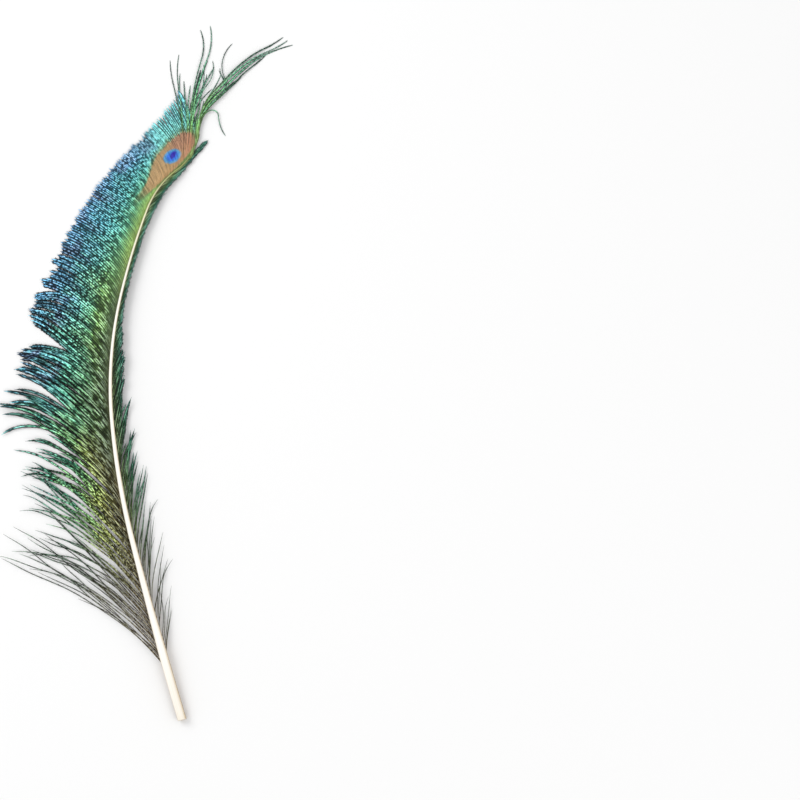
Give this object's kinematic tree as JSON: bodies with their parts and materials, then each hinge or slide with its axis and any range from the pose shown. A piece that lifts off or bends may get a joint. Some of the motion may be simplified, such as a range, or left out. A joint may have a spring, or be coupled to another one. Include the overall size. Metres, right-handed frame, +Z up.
{
  "type": "peacock feather",
  "caption": "Long curved feather lying flat: pale tapering shaft, broad iridescent green outer vane with a copper and blue eye patch, narrow inner vane and loose strands at the tip.",
  "frame": {"origin": "bottom centre of the feather's box, on the surface it lies on", "axes": "+Z up out of that surface, towards the feather's upper side; +Y along the feather, from the cut quill towards the tip; +X to the right, the inner vane's side"},
  "size_m": [0.1356, 0.3199, 0.0077],
  "materials": {
    "vane": "keratin barbs with iridescent green, teal and blue barbules, satin sheen",
    "shaft": "smooth cream-white keratin quill, faint satin gloss"
  },
  "bodies": {
    "root": {"feather": "vane"}
  },
  "joints": []
}
